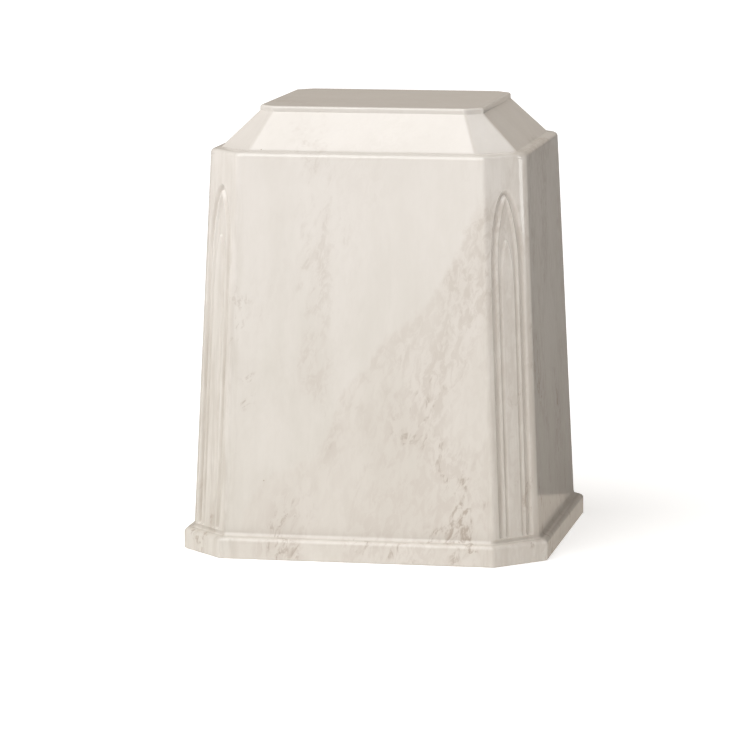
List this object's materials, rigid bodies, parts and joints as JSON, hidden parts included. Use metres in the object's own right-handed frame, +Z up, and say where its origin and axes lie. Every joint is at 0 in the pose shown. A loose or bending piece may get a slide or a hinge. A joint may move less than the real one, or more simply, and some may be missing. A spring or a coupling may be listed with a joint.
{
  "type": "cremation urn",
  "caption": "Tapered urn of rectangular plan with canted corners in nested lancet relief, a coved plinth, a hipped top with a raised flat panel, and a closing plate below.",
  "frame": {"origin": "middle of the underside, on the surface that the urn stands on", "axes": "+Z up, the front face towards -Y, the wider side of the plan along X"},
  "size_m": [0.1826, 0.1732, 0.22],
  "materials": {
    "gel_coated_marble_resin": "gloss",
    "plain_marble_resin": "satin"
  },
  "bodies": {
    "root": {"urn_body": "gel_coated_marble_resin", "base_plate": "plain_marble_resin"}
  },
  "joints": []
}
